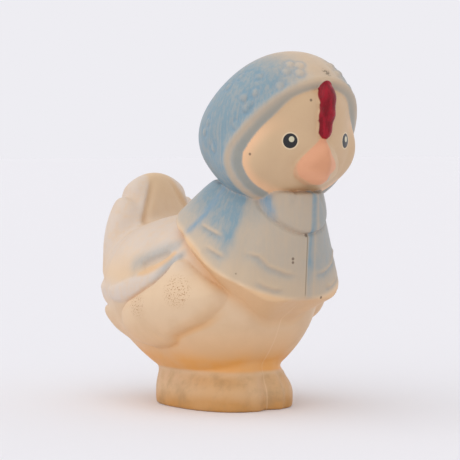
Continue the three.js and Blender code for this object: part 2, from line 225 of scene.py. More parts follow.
def to_line(line, u, v, loop=False):
    """Signed distance to a line, positive on its left, and the nearest place along it from 0 to 1."""
    line = np.asarray(line, float)
    ends = np.roll(line, -1, 0) if loop else line[1:]
    starts = line if loop else line[:-1]
    lengths = np.hypot(*(ends - starts).T)
    best = side = along = None
    for (ax, ay), (bx, by), length, before in zip(starts, ends, lengths, np.cumsum(lengths) - lengths):
        t = np.clip(((u - ax) * (bx - ax) + (v - ay) * (by - ay)) / length**2, 0, 1)
        away = np.hypot(u - ax - t * (bx - ax), v - ay - t * (by - ay))
        left = np.sign((bx - ax) * (v - ay) - (by - ay) * (u - ax))
        if best is None:
            best, side, along = away, left, before + t * length
        else:
            nearer = away < best
            best = np.where(nearer, away, best)
            side = np.where(nearer, left, side)
            along = np.where(nearer, before + t * length, along)
    return best * side, along / lengths.sum()


def within(outline, u, v):
    """Distance to a closed outline, positive inside it."""
    curve = rounded(outline)
    away = np.abs(to_line(curve, u, v, True)[0])
    inside = np.zeros(np.broadcast(u, v).shape, bool)
    for (ax, ay), (bx, by) in zip(curve, np.roll(curve, -1, 0)):
        if ay != by:
            inside ^= ((ay > v) != (by > v)) & (u < ax + (v - ay) * (bx - ax) / (by - ay))
    return np.where(inside, away, -away)


def pillow(depth, edge):
    """A relief from 0 at an outline to 1 inside it, with a round shoulder as wide as edge."""
    t = np.clip(depth / edge, 0, 1)
    return np.sqrt(1 - (1 - t) ** 2)


def belly_point(turn, rise):
    """A place on the belly, from its turn round the body and its rise over the widest level."""
    power = np.where(rise < 0, BELLY_POWER, BACK_POWER)
    full = np.where(rise < 0, BELLY_DEPTH, BACK_RISE)
    reach = (1 - np.minimum(1, np.abs(rise) / full) ** power) ** (1 / power)
    return (
        squared(np.sin(turn), PLAN_POWER) * reach * BELLY_HALF[0],
        BELLY_SHIFT + np.minimum(0, rise) * 0.15
        - squared(np.cos(turn), PLAN_POWER) * reach * BELLY_HALF[1],
        BELLY_LEVEL + rise,
    )


def between(along, start, end):
    """1 in the middle of a line, falling to 0 at its ends."""
    return smooth(along, 0, start) * (1 - smooth(along, end, 1))


def wing_relief(y, z):
    """How far the wing's forms stand out of the flank at a place seen from the side."""
    wing = within(wing_outline, y, z)
    crease = to_line([(-8.7, 26.6), (-4.0, 31.5), (3.0, 35.0)], y, z)
    relief = WING_RELIEF * (0.3 * pillow(wing, 2.5) + 0.7 * pillow(wing, 12))
    relief -= 0.45 * dent(crease[0], 1.6) * (1 - smooth(crease[1], 0.1, 1))
    relief += 1.0 * pillow(within(covert_outline, y, z), 3) * (1 - smooth(wing, -1, 1))
    hollow = to_line([(-9.0, 61.3), (-4.9, 58.9), (1.6, 56.4), (5.8, 53.6)], y, z)
    relief -= 1.1 * dent(hollow[0] - 0.8, 1.5) * between(hollow[1], 0.15, 0.85)
    relief += 0.5 * dent(hollow[0] - 4.0, 1.8) * between(hollow[1], 0.2, 0.8)
    return relief


x, y, z = ball(200, 140)
level = squared(z, np.where(z < 0, BELLY_POWER, BACK_POWER)) * np.where(z < 0, BELLY_DEPTH, BACK_RISE)
cells, values = field_of(*belly_point(np.arctan2(x, -y), level))
x, y, z = places(cells)
values -= wing_relief(y, z) * smooth(x, 8, 16)
tiers = 0.7 * pillow(4.4 - np.abs(z - 43.6), 2.5) + 2.8 * pillow(6.8 - np.abs(z - 31.4), 5)
tiers = tiers - 0.9 * dent(z - 48.8 - 0.1 * (y - 45), 1.5)
values -= tiers * smooth(y, 27, 42)
skin[cells] = melt(skin[cells], values, 1.2)

# Tail. A fan of feathers that stands up behind the back, moulded in the same rubber. Its front is
# flat between two raised edges, with a notch on each side where the lower feathers spread.
TAIL_HALF = (24, 14, 33)
TAIL_TOP = 91.5
TAIL_SHIFT = 43.5
TAIL_FRONT = 33.4
FAN_TOP = (6.4, 87.5)
FAN_SLOPE = 0.48


def pared(a, b, soft):
    """What two fields share, with a rounded edge."""
    return -melt(-a, -b, soft)


def past_fan(x, z):
    """Millimetres outward of the flat front's edge, which spreads from the top down."""
    return x - FAN_TOP[0] - FAN_SLOPE * (FAN_TOP[1] - z)


x, y, z = ball(200, 140)
cells, values = field_of(
    x * TAIL_HALF[0], y * TAIL_HALF[1] + TAIL_SHIFT, z * TAIL_HALF[2] + TAIL_TOP - TAIL_HALF[2]
)
x, y, z = places(cells)
flat = TAIL_FRONT + 0.3 * np.maximum(0, z - 75) - 0.18 * np.maximum(0, 75 - z) - y
values = pared(values, flat, 3.5)
furrow = to_line([(22, 89), (15.6, 84.6), (12.8, 79), (11.5, 70)], x, z)
notch = 2.6 * dent(furrow[0], 2.0) * (1 - smooth(furrow[1], 0.3, 0.8)) * smooth(z, 60, 70)
fan = past_fan(x, z)
lit_edge = 0.9 * dent(fan + 1.6, 1.5) - 0.5 * dent(fan - 0.9, 1.6)
lit_edge = lit_edge * smooth(z, 64, 70) * (1 - smooth(z, 86, 90))
values = values + notch + lit_edge * (1 - smooth(y, 36, 42))
skin[cells] = melt(skin[cells], values, 5)
body = skin.copy()

# Cape. A bell of the same rubber, sprayed blue, from the neck to a hem that dips at the front. Moulded
# grooves part it into panels, with shallow folds; the hem's underside slopes back to the belly.
NECK_HALF = (16.6, 25)
NECK_DIP = 3
CAPE_HALF = (31, 33.5)
CAPE_HEIGHT = 24.4
HEM_DIP = math.radians(31)
HEM_ROOT = 35
PLEAT_ANGLE = math.radians(54)
PLEAT_DEPTH = 1.1
HEM = (0, -23.6, 62.4)
NECK = (0, -29, HEM[2] + CAPE_HEIGHT)
CAPE_RADIUS = 27
CAPE_MIDDLE = -26
folds = [
    [(-27.1, -19.4, 73.3), (-26.0, -34.4, 68.1)],
    [(-30.0, -26.1, 65.2), (-27.5, -37.5, 60.3)],
    [
        (-24.3, -40.9, 63.4), (-19.0, -47.3, 61.2), (-16.2, -49.7, 57.5), (-9.6, -52.4, 54.7),
        (-2.4, -53.3, 53.7),
    ],
    [(-21.2, -47.2, 53.1), (-18.7, -49.2, 50.4), (-14.4, -51.1, 48.8), (-9.6, -52.4, 48.7)],
]


def round_cape(x, y):
    """Millimetres round the cape from its middle front."""
    return CAPE_RADIUS * np.arctan2(np.abs(x), CAPE_MIDDLE - y)


def fold_lines(around, z):
    """The raised ridge of the folds, and the shallow that follows it below, from 0 to 1."""
    ridge = shallow = 0
    for fold in folds:
        away, along = to_line([(round_cape(px, py), pz) for px, py, pz in fold], around, z)
        ends = between(along, 0.3, 0.7)
        ridge = ridge + ends * dent(away + 0.5, 0.75)
        shallow = shallow + ends * dent(away - 1.2, 1.3)
    return ridge, shallow


radius, height, turn = drum(360, 100)
t = 1 - height
panel = np.abs(turn) / PLEAT_ANGLE
off = np.abs(panel - np.round(panel))
panel_edge = np.where(panel < 0.5, 0.5, np.where(panel < 1.5, 0.4, 1))
out = -PLEAT_DEPTH * panel_edge * dent(off, 0.11) * (0.35 + 0.65 * t)
widen = t**0.9
front = squared(np.cos(turn), 2 + 0.4 * t)
scallop = 2 * PLEAT_DEPTH * np.sin(np.pi * off) ** 2 * t * t * np.maximum(0, np.cos(turn * 0.8))
cells, values = field_of(
    squared(np.sin(turn), 2 + 0.4 * t) * (lerp(NECK_HALF[0], CAPE_HALF[0], widen) + out) * radius,
    lerp(NECK[1], HEM[1], t)
    - front * (lerp(NECK_HALF[1], CAPE_HALF[1] * math.cos(HEM_DIP), widen) + out) * radius,
    lerp(NECK[2] - front * NECK_DIP * radius, HEM[2], t)
    - (front * CAPE_HALF[1] * math.sin(HEM_DIP) * widen + scallop) * radius
    - HEM_ROOT * (1 - radius) * (height == 0),
)
x, y, z = places(cells)
ridge, shallow = fold_lines(round_cape(x, y), z)
values -= 0.6 * ridge - 0.5 * shallow
cape = new_field()
cape[cells] = values

# Bib. The scarf's knotted end, raised in the rubber as a tongue with a round bottom that lies on the
# front of the cape, creased beside the chin.
BIB_HALF = 14.4
BIB_RELIEF = 1.3
BIB_HEIGHT = 19
round_end = 0.6 * BIB_HEIGHT
straight_end = NECK[2] + 2 - (BIB_HEIGHT - round_end)


def bib_depth(x, z):
    """Distance into the bib from its outline, negative outside it."""
    down = np.where(z < straight_end, (straight_end - z) / round_end, (z - straight_end) / 10)
    return BIB_HALF * (1 - np.sqrt((x / BIB_HALF) ** 2 + down**2))


bib = bib_depth(x, z)
crease = to_line([(4.5, 87), (6.5, 82), (9.5, 78)], np.abs(x), z)
relief = BIB_RELIEF * pillow(bib, 2.2) - 0.5 * dent(crease[0], 0.9) * (1 - smooth(crease[1], 0.4, 1))
relief -= 0.7 * dent(bib + 0.6, 0.8)
values -= relief * (y < -40)
cape[cells] = values
skin = melt(skin, cape, 1.0)

# Scarf and face. The face is an egg of bare rubber, and the scarf a thicker egg over it, sprayed blue,
# that stops at a sloping opening; its rolled edge slopes in to the face. Moulded round blobs, some
# of them in fours, decorate it.
HEAD_HALF = np.array([29.2, 32.7, 28.4])
HEAD_LEAN = math.radians(18.5)
CROWN_SWELL = 0.062
CROWN_TURN = math.radians(49)
SCARF_THICKNESS = 2.4 * np.array([1.3, 0.9, 0.3])
CHEEK_SWELL = 0.2
FACE_FLAT = 3.4
CHEEK_TURN = math.radians(58)
OPENING_SLOPE = math.radians(40.4)
OPENING_FRONT = -41
OPENING_REACH = 33.9
HEAD = (0, -37, NECK[2] + 21.9)
blobs = [
    (-23.3, -50.1, 122.4), (-25.5, -46.3, 120.8), (-25.1, -49.1, 118.3), (-26.1, -48.1, 116.5),
    (-7.5, -57.0, 132.6), (-13.2, -56.2, 130.1), (-9.3, -59.0, 129.7), (-10.2, -54.4, 132.6),
    (-17.1, -57.0, 124.8), (-27.8, -44.7, 110.3), (-21.5, -39.6, 128.6), (-23.6, -35.0, 125.1),
    (-27.8, -31.3, 102.0), (-20.2, -48.7, 128.4), (-28.6, -24.0, 108.0), (-29.0, -27.0, 112.0),
]


def turned(y, z, angle):
    """A place turned round the X axis."""
    return y * math.cos(angle) - z * math.sin(angle), y * math.sin(angle) + z * math.cos(angle)


def head(sizes, flat=0):
    """The egg of the head, swollen at crown and cheeks, its front pressed flat by some millimetres."""
    x, y, z = ball(220, 160)
    full = 1 + CROWN_SWELL * (1 - x * x) * np.cos(3 * (np.arctan2(z, -y) - CROWN_TURN))
    cheek = turned(-math.cos(CHEEK_TURN), -math.sin(CHEEK_TURN), HEAD_LEAN)
    low = np.clip((y * cheek[0] + z * cheek[1]) / 0.75, 0, 1)
    wide = 1 + CHEEK_SWELL * np.sin(low * np.pi / 2) ** 2
    y, z = turned(y * sizes[1] * full, z * sizes[2] * full, -HEAD_LEAN)
    x = x * sizes[0] * full * wide
    low = 0.45 * (1 - smooth(z, -15, -5)) * (1 - smooth(np.abs(x), 9, 20))
    y = y + flat * (low + (1 - smooth(np.abs(x), 16, 25)) * (1 - smooth(z, -2, 13))) * smooth(-y, 4, 16)
    return x, y + HEAD[1], z + HEAD[2]


def behind_opening(y, z):
    """Distance behind the scarf's opening: a slope over the face that turns upright at the cheeks."""
    c, s = math.cos(OPENING_SLOPE), math.sin(OPENING_SLOPE)
    half = math.hypot(c + 1, s)
    height = (OPENING_REACH - OPENING_FRONT * c) / s
    turn_reach = (OPENING_FRONT * (c + 1) + height * s) / half - 1
    slope = y * c + z * s - OPENING_REACH
    bend = (y * (c + 1) + z * s) / half - turn_reach
    return np.maximum(np.maximum(slope, bend), y - OPENING_FRONT)


def band_width(z):
    """How far the scarf's edge slopes in over the face, less towards the crown."""
    return np.clip(4.9 - 0.159 * (z - 98), 1.3, 4.9)


cells, values = field_of(*head(HEAD_HALF))
x, y, z = places(cells)
back = behind_opening(y, z)
values -= 0.7 * dent(back - 0.8, 1.4)
blob_centres = []
for px, py, pz in blobs:
    aim = np.array([-px, py - HEAD[1], pz - HEAD[2]])
    steps = np.arange(15, 45, 0.25)[:, None] * aim / np.linalg.norm(aim) + HEAD
    cell = np.round(steps / STEP - origin - [s.start for s in cells]).astype(int)
    cell = np.clip(cell, 0, np.array(values.shape) - 1)
    centre = steps[np.argmax(values[tuple(cell.T)] > 0)]
    blob_centres.append(centre)
    away = np.sqrt((x - centre[0]) ** 2 + (y - centre[1]) ** 2 + (z - centre[2]) ** 2)
    values = values + 0.25 * dent(away - 2.1, 0.55) - 0.4 * (1 - smooth(away, 0.6, 2.0))
face = new_field()
face_cells, face_values = field_of(*head(HEAD_HALF - SCARF_THICKNESS, FACE_FLAT))
face[face_cells] = face_values
edge = band_width(z)
slope = np.clip((back + edge) / (edge - 0.2), 0, 1)
slope = slope * (1 + 0.35 * (1 - slope))
scarf = new_field()
scarf[cells] = lerp(face[cells], values, slope)
skin = melt(skin, scarf, 0.9)

# Beak. A short blunt wedge raised out of the face's rubber below the comb and painted salmon: a ridge
# down the middle, a flat flank on each side and an underside that runs back to the chin.
BEAK_FLANK = 0.6
beak_ridge = [
    (83, -55), (87.3, -60.0), (90, -63.4), (93, -65.0), (97, -65.7), (101, -65.0), (105.5, -62.6),
    (109, -60),
]
beak_outline = [
    (0, 107.0), (3.0, 104.3), (7.2, 100.4), (9.7, 97.2), (10.3, 94.4), (9.0, 91.6), (5.8, 89.6),
    (2.2, 88.2), (-2.2, 88.2), (-5.8, 89.6), (-9.0, 91.6), (-10.3, 94.4), (-9.7, 97.2), (-7.2, 100.4),
    (-3.0, 104.3),
]


def cells_between(low, high):
    """The grid's cells between two corners, as slices."""
    low, high = (np.round(np.array(corner) / STEP) - origin for corner in (low, high))
    return tuple(slice(int(a), int(b)) for a, b in zip(low, high))


cells = cells_between([-4, grid_low[1] + 1, 83], [16, -46, 110])
x, y, z = places(cells)
beak = new_field()
middle = np.interp(z, *np.transpose(beak_ridge))
beak_plan = within(beak_outline, x, z)
beak[cells] = 0.85 * (middle + BEAK_FLANK * (np.sqrt(x * x + 1.5) - 0.9) - y)
beak[cells] = pared(beak[cells], -0.8 * beak_plan, 1.6)
skin = melt(skin, beak, 0.9)

# Comb. Three lobes down the middle of the forehead, raised in the same rubber as the face. Glossy
# red enamel is brushed over them by hand.
COMB_TOP = HEAD[2] + 17
COMB_HALF = 4.1
COMB_HEIGHT = 19.5
COMB_RELIEF = 2.9
LOBES = ((0.44, 1), (0.3, 0.96), (0.26, 0.76))  # shares of the height and of the width
cells = cells_between([-4, grid_low[1] + 1, COMB_TOP - COMB_HEIGHT - 6], [10, -50, COMB_TOP + 6])
x, y, z = places(cells)
comb = new_field()
lobes = None
top = COMB_TOP
for share, width in LOBES:
    half = share * COMB_HEIGHT / 2
    wide, tall = width * COMB_HALF, half * 1.35
    level = z - top + half
    away = np.sqrt((x / wide) ** 2 + (level / tall) ** 2 + 1e-6)
    steep = np.sqrt((tall * x / wide / away) ** 2 + (wide * level / tall / away) ** 2 + 1e-6)
    away = np.clip((away - 1) * wide * tall / steep, -BAND * STEP, BAND * STEP)
    lobes = away if lobes is None else melt(lobes, away, 2.6)
    top -= 2 * half
comb[cells] = np.broadcast_to(lobes, comb[cells].shape)
skin[cells] -= COMB_RELIEF * (0.35 * pillow(-lobes, 0.8) + 0.65 * pillow(-lobes, 4))

# Moulded halves. Each half is the field's surface on its side of the mid-plane, hollowed to a wall of
# 2.4 mm over a thicker sole, and bored for the squeaker; cement joins the halves edge to edge.
WALL = 2.4
SOLE = 4
BORE = 7.8
POCKET = (10.1, 1.9)
COARSE = 3


def surface(field, step, start):
    """The points and faces where a field is 0."""
    grid = openvdb.FloatGrid(float(BAND * STEP))
    grid.copyFromArray(np.ascontiguousarray(field, np.float32), ijk=tuple(int(v) for v in start))
    grid.transform = openvdb.createLinearTransform(voxelSize=step)
    points, quads = grid.convertToQuads(isovalue=0)
    return points, quads.tolist()


def new_object(name, data):
    made = bpy.data.objects.new(name, data)
    bpy.context.scene.collection.objects.link(made)
    return made


def solid(name, points, faces):
    mesh = bpy.data.meshes.new(name)
    mesh.from_pydata([tuple(p) for p in points.tolist()], [], [tuple(f) for f in faces])
    mesh.validate()
    return new_object(name, mesh)


def lathe(name, profile, across=96, first=0):
    """A closed solid turned from (radius, height) points that start and end on the axis."""
    turn = (np.arange(across) + first) * 2 * np.pi / across
    rows = np.array([[(r * math.cos(a), r * math.sin(a), h) for a in turn] for r, h in profile])
    points, ends, quads = closed(rows)
    return solid(name, points, [f[::-1] for f in ends.tolist() + quads.tolist()])


def cut(piece, tool, how="DIFFERENCE"):
    """Cuts one solid by another, which is used up."""
    boolean = piece.modifiers.new("cut", "BOOLEAN")
    boolean.operation = how
    boolean.solver = "MANIFOLD"
    boolean.object = tool
    mesh = bpy.data.meshes.new_from_object(piece.evaluated_get(bpy.context.evaluated_depsgraph_get()))
    piece.modifiers.remove(boolean)
    piece.data = mesh
    bpy.data.objects.remove(tool)


half = solid("rubber_half_left", *surface(skin, STEP, origin))
start = np.ceil(origin / COARSE).astype(int)
offset = start * COARSE - origin
coarse = skin[tuple(slice(v, None, COARSE) for v in offset)]
height = (np.arange(coarse.shape[2]) + start[2]) * COARSE * STEP
room = np.maximum(coarse + WALL, SOLE - height[None, None, :])
corners = np.array([(i, j, k) for i in (0.01, 60) for j in (-90, 110) for k in (-9, 160)], float)
sides = [(0, 1, 3, 2), (4, 6, 7, 5), (0, 4, 5, 1), (2, 3, 7, 6), (0, 2, 6, 4), (1, 5, 7, 3)]
cut(half, solid("side", corners, sides), "INTERSECT")
cut(half, solid("room", *surface(room, COARSE * STEP, start)))
cut(half, lathe("bore", [
    (0, -2), (POCKET[0], -2), (POCKET[0], POCKET[1]), (BORE, POCKET[1]), (BORE, SOLE + 1), (0, SOLE + 1),
]))


def measured(field, points):
    """A field's value at points, between its grid's cells."""
    place = np.clip(points / STEP - origin, 0, counts - 1.001)
    i, j, k = place.astype(int).T
    fx, fy, fz = (place - place.astype(int)).T
    total = 0
    for a, wa in ((0, 1 - fx), (1, fx)):
        for b, wb in ((0, 1 - fy), (1, fy)):
            for c, wc in ((0, 1 - fz), (1, fz)):
                total = total + wa * wb * wc * field[i + a, j + b, k + c]
    return total


def blurred(field, width):
    """A field averaged twice along each axis, over width cells to both sides."""
    for axis in range(3):
        for _ in range(2):
            total = np.cumsum(field, axis, dtype=np.float64)
            field = field.copy()
            inner = [slice(None)] * 3
            ahead, behind = list(inner), list(inner)
            inner[axis] = slice(width + 1, -width)
            ahead[axis] = slice(2 * width + 1, None)
            behind[axis] = slice(0, -2 * width - 1)
            field[tuple(inner)] = (total[tuple(ahead)] - total[tuple(behind)]) / (2 * width + 1)
    return field


def vertices(mesh):
    """The places of a mesh's vertices."""
    points = np.empty(len(mesh.vertices) * 3)
    mesh.vertices.foreach_get("co", points)
    return points.reshape(-1, 3)


def settle(mesh, points, crease):
    """Sets a mesh's vertices from millimetres into the frame, and shades it smooth."""
    mesh.vertices.foreach_set("co", ((points + (0, axis_y, 0)) / 1000).ravel())
    mesh.polygons.foreach_set("use_smooth", np.ones(len(mesh.polygons), bool))
    mesh.update()
    mesh.set_sharp_from_angle(angle=math.radians(crease))


relief_field = blurred(np.clip(skin, -2.5, 2.5), 3)
other = new_object("rubber_half_right", half.data.copy())
other.data.flip_normals()
for piece, side in ((half, 1), (other, -1)):
    mesh = piece.data
    points = vertices(mesh)
    x, y, z = points.T
    back = behind_opening(y, z)
    in_body, in_cape, in_head = (measured(f, points) for f in (body, cape, scarf))
    head_part = smooth(np.minimum(in_body, in_cape) - in_head, -0.4, 0.4)
    cape_part = smooth(np.minimum(in_body, in_head) - in_cape, -0.4, 0.4)
    body_part = (1 - head_part) * (1 - cape_part)
    relief = measured(relief_field, points)
    band = band_width(z)
    scarf_part = head_part * smooth(back + band, -0.2, 0.3)
    inner = head_part * smooth(back + band, -0.2, 0.4) * (1 - smooth(back + 0.5 * band, -0.6, 0.8))
    around = round_cape(x, y)
    ridge, shallow = fold_lines(around, z)
    hem = HEM[2] - squared(np.cos(around / CAPE_RADIUS), 2.4) * CAPE_HALF[1] * math.sin(HEM_DIP)
    above_hem = z - hem
    wing = within(wing_outline, y, z)
    covert = within(covert_outline, y, z)
    flank = body_part * smooth(x, 8, 16)
    lens = flank * smooth(within(lens_outline, y, z), -0.8, 1.0)
    # Sprayed blue: full on the scarf's sides and back, thin over its crown.
    spray = scarf_part * np.maximum(0.2 + 0.74 * smooth(x, 2, 21), 0.88 * smooth(y, -42, -24))
    spray *= 1 - 0.72 * dent(back + 0.6, 1.8)
    dots = np.full(len(points), 9.0)
    for centre in blob_centres:
        dots = np.minimum(dots, np.sqrt(((points - centre) ** 2).sum(1)))
    deep_dots = scarf_part * dent(dots - 2.2, 0.6) * smooth(back, 1, 2) * (side < 0)
    spray *= 1 - 0.12 * scarf_part * (1 - smooth(dots, 0.8, 1.9))
    # The cape's blue pales towards the hem, and differs on the far side.
    far = smooth(side * x, 0.2, 0.6)
    pleat = to_line([(46, 89), (47.5, 80), (50.5, 73.5), (57, 65), (62, 60)], around, z)[0]
    fold = to_line([(24, 89), (26.5, 82), (28.5, 73), (31.5, 60), (34, 50)], around, z)[0]
    on_cape = 0.27 + 0.45 * smooth(fold, -1.5, 3) * smooth(z, 50, 74)
    on_cape = on_cape + 0.32 * dent(fold - 2.2, 3.0) * smooth(z, 50, 62)
    on_cape = on_cape + 0.2 * smooth(z, 70, 80) * (bib_depth(x, z) < 0) + 0.1 * smooth(pleat, 0, 4)
    on_cape = lerp(on_cape, 0.6 + 0.25 * dent(x - 1.6, 1.3) - 0.25 * dent(x - 4.0, 0.6), far)
    on_cape = on_cape * (0.4 + 0.6 * smooth(above_hem, 1, 14))
    # On the folds: paler ridges, worn and a painted highlight, and a bluer shallow, painted shade.
    on_cape = on_cape * (1 - 0.7 * ridge) + 0.2 * shallow
    spray = np.maximum(spray, cape_part * np.clip(on_cape, 0, 1) * smooth(above_hem, -1.5, 1.5))
    # Deeper blue: in the near pleat, beside the chin and round the blobs.
    near_side = 1 - smooth(side * x, -1, 0)
    deep = 0.9 * cape_part * dent(pleat + 0.5, 2.1) * smooth(above_hem, -3, 2) * near_side
    crescent = to_line([(13.2, 86), (13.9, 81.5), (13.4, 77), (11.8, 73)], x, z)
    crescent = dent(crescent[0], 0.8) * between(crescent[1], 0.15, 0.5)
    deep = np.maximum(deep, crescent * (y < -40) * cape_part * near_side)
    deep = np.maximum(deep, 0.4 * deep_dots)
    # Bare rubber: tan on cape and scarf rim, warm round the face, pale on coverts and back.
    tan = cape_part * (1 - 0.5 * smooth(around, 26, 40)) * smooth(above_hem, -1, 1)
    tan = np.maximum(tan, 0.8 * scarf_part * dent(back + 0.3, 2.2))
    warm = head_part * (1 - scarf_part) * (1 - smooth(-back - band, 0, 5)) * (1 - smooth(z, 104, 116))
    pale = 0.8 * flank * smooth(covert, -2.0, 1.5) * (1 - smooth(wing, -0.5, 0.8))
    pale = np.maximum(pale, 0.7 * body_part * smooth(z, 50, 66) * (1 - smooth(y, 26, 38)))
    pale = np.maximum(pale, 0.75 * body_part * dent(z - 44.5, 4.5) * smooth(y, 14, 26))
    pale *= 1 - lens
    # Painted highlight: the tail's sides, outward of its flat front, paler than the front.
    lit_tail_sides = smooth(y, 27, 31) * smooth(past_fan(x, z), -0.8, 1.2) * smooth(z, 50, 62)
    pale = np.maximum(pale, 0.7 * body_part * lit_tail_sides)
    # A breath of the blue on the flank, above the lens and along the wing's top.
    above_lens = to_line([(9.5, 56.5), (-0.5, 60.8), (-9.0, 64.0)], y, z)[0]
    spray = np.maximum(spray, 0.42 * flank * dent(above_lens, 3.2) * (1 - lens) * smooth(y, -13, -9))
    wing_top = to_line([(6.4, 45.4), (-5.8, 52.0), (-13.5, 60.5)], y, z)
    spray = np.maximum(spray, 0.5 * flank * dent(wing_top[0], 1.8) * smooth(wing_top[1], 0.2, 0.9))
    # Ochre: a tint low on the belly, round the ankle and at the sole's edge.
    # Painted shade in the same ochre: along the wing's lower edge, in the lens hollow and under the hem.
    shade_in_wing = flank * smooth(wing, -1.2, 0) * (1 - smooth(wing, 0, 4.5)) * (1 - smooth(z, 34, 48))
    crease = dent(wing + 0.6, 1.6) * flank * (1 - smooth(z, 33, 42)) * smooth(-y, -14, 2)
    sole_edge = 1 - smooth(z, 0.5, 8)
    ankle = dent(z - 17.0, 4.5) * smooth(z, 14, 16)
    foot = body_part * (1 - smooth(z, 13, 15.5))
    ochre_and_shade = body_part * np.clip(
        0.6 * ankle + 0.55 * (1 - smooth(z, 16, 40)) * smooth(z, 14, 16) + 0.9 * sole_edge
        + (0.1 + 0.4 * dent(y + 18, 14) * smooth(x, 6, 14)) * (1 - smooth(z, 12, 15)), 0, 1
    )
    shade_under_hem = smooth(-above_hem, 0.4, 1.6) * dent(in_cape, 2.5)
    for more in (0.3 * shade_under_hem * (y < 0), 0.3 * shade_in_wing, 0.55 * crease, 0.3 * lens):
        ochre_and_shade = np.maximum(ochre_and_shade, more)
    paints = {
        "spray": spray,
        "deep": deep,
        "pale": pale,
        "tan": tan,
        "foot": foot,
        "warm": warm,
        "ochre_and_shade": ochre_and_shade,
        "inner": inner,
        "face": head_part * (1 - scarf_part),
        "hollow": -relief,
        "comb": -measured(comb, points),
        "beak": within(beak_outline, x, z) * (y < -50) - 9 * (y >= -50) - 4 * smooth(side * x, 0.2, 2.2),
    }
    for name, values in paints.items():
        layer = mesh.attributes.new(name, "FLOAT", "POINT")
        layer.data.foreach_set("value", np.ascontiguousarray(values, np.float32))
    settle(mesh, points * (side, 1, 1), 48)


def linear(*rgb):
    """A colour given in 0 to 255, as the linear values a shader takes."""
    return tuple(((c / 255 + 0.055) / 1.055) ** 2.4 if c > 10 else c / 255 / 12.92 for c in rgb) + (1,)


def put(tree, kind, inputs=None, **settings):
    """A node with its settings, and its inputs linked or set."""
    made = tree.nodes.new(kind)
    for key, value in settings.items():
        setattr(made, key, value)
    for socket, value in (inputs or {}).items():
        if isinstance(value, bpy.types.NodeSocket):
            tree.links.new(value, made.inputs[socket])
        else:
            made.inputs[socket].default_value = value
    return made


def calc(tree, operation, a, b=0.0, clamp=False):
    return put(tree, "ShaderNodeMath", {0: a, 1: b}, operation=operation, use_clamp=clamp).outputs[0]


def times(tree, a, b, clamp=False):
    return calc(tree, "MULTIPLY", a, b, clamp)


def ramp(tree, value, start, end, low=0.0, high=1.0):
    """A soft step from low at start to high at end."""
    made = put(tree, "ShaderNodeMapRange", {
        "Value": value, "From Min": start, "From Max": end, "To Min": low, "To Max": high,
    }, interpolation_type="SMOOTHSTEP")
    return made.outputs["Result"]


def coat(tree, share, under, over):
    """One colour laid over another by a share."""
    made = put(tree, "ShaderNodeMix", {0: share, 6: under, 7: over}, data_type="RGBA")
    return made.outputs[2]


def layer(tree, name):
    """One of the paint masks."""
    return put(tree, "ShaderNodeAttribute", attribute_name=name).outputs["Fac"]


def noise(tree, at, scale, detail=3.0, rough=0.55, warp=0.0):
    return put(tree, "ShaderNodeTexNoise", {
        "Vector": at, "Scale": scale, "Detail": detail, "Roughness": rough, "Distortion": warp,
    }).outputs["Fac"]


def stretched(tree, at, sizes, turn=(0, 0, 0)):
    made = put(tree, "ShaderNodeMapping", {"Vector": at, "Scale": sizes, "Rotation": turn})
    return made.outputs["Vector"]


fine_grain = bpy.data.node_groups.new("fine_grain", "ShaderNodeTree")
fine_grain.interface.new_socket("Vector", in_out="INPUT", socket_type="NodeSocketVector")
fine_grain.interface.new_socket("Scale", in_out="INPUT", socket_type="NodeSocketFloat")
fine_grain.interface.new_socket("Grain", in_out="OUTPUT", socket_type="NodeSocketFloat")
given = fine_grain.nodes.new("NodeGroupInput").outputs
small = noise(fine_grain, given["Vector"], given["Scale"], 3, 0.6)
large = noise(fine_grain, given["Vector"], times(fine_grain, given["Scale"], 0.16), 5, 0.6)
both = calc(fine_grain, "ADD", times(fine_grain, small, 0.2), times(fine_grain, large, 0.8))
put(fine_grain, "NodeGroupOutput", {"Grain": both})


def grain(tree, at, scale):
    made = put(tree, "ShaderNodeGroup", {"Vector": at, "Scale": scale}, node_tree=fine_grain)
    return made.outputs["Grain"]


def material(name):
    """A new material, its tree, its shader, and the place on the object in metres."""
    made = bpy.data.materials.new(name)
    made.use_nodes = True
    tree = made.node_tree
    return made, tree, tree.nodes["Principled BSDF"], put(tree, "ShaderNodeTexCoord").outputs["Object"]


def rough(tree, shader, height, strength, distance):
    """Fine relief on a shader's surface."""
    bump = put(tree, "ShaderNodeBump", {"Height": height, "Strength": strength, "Distance": distance})
    tree.links.new(bump.outputs["Normal"], shader.inputs["Normal"])


def dress(piece, made):
    piece.data.materials.clear()
    piece.data.materials.append(made)


rubber, tree, shader, at = material("painted_rubber")
cloud = noise(tree, at, 55, 4)
mottle = noise(tree, at, 240, 5, 0.6)
grit = grain(tree, at, 1500)
streak = noise(tree, stretched(tree, at, (1, 1, 0.12)), 900, 3, 0.6)
brush = noise(tree, stretched(tree, at, (1, 1, 0.35), (0.5, 0.2, 0)), 420, 4, 0.6, 0.4)

# Bare rubber, cloudy and tinted by the masks, with painted shade in hollows, and grimy on the foot.
colour = coat(tree, ramp(tree, cloud, 0.35, 0.65), linear(216, 184, 148), linear(223, 193, 159))
colour = coat(tree, layer(tree, "face"), colour, linear(207, 175, 138))
colour = coat(tree, layer(tree, "warm"), colour, linear(236, 188, 146))
colour = coat(tree, layer(tree, "tan"), colour, linear(202, 176, 145))
pale = times(tree, layer(tree, "pale"), ramp(tree, mottle, 0.3, 0.6, 0.5, 1))
colour = coat(tree, pale, colour, linear(212, 199, 190))
hollow = layer(tree, "hollow")
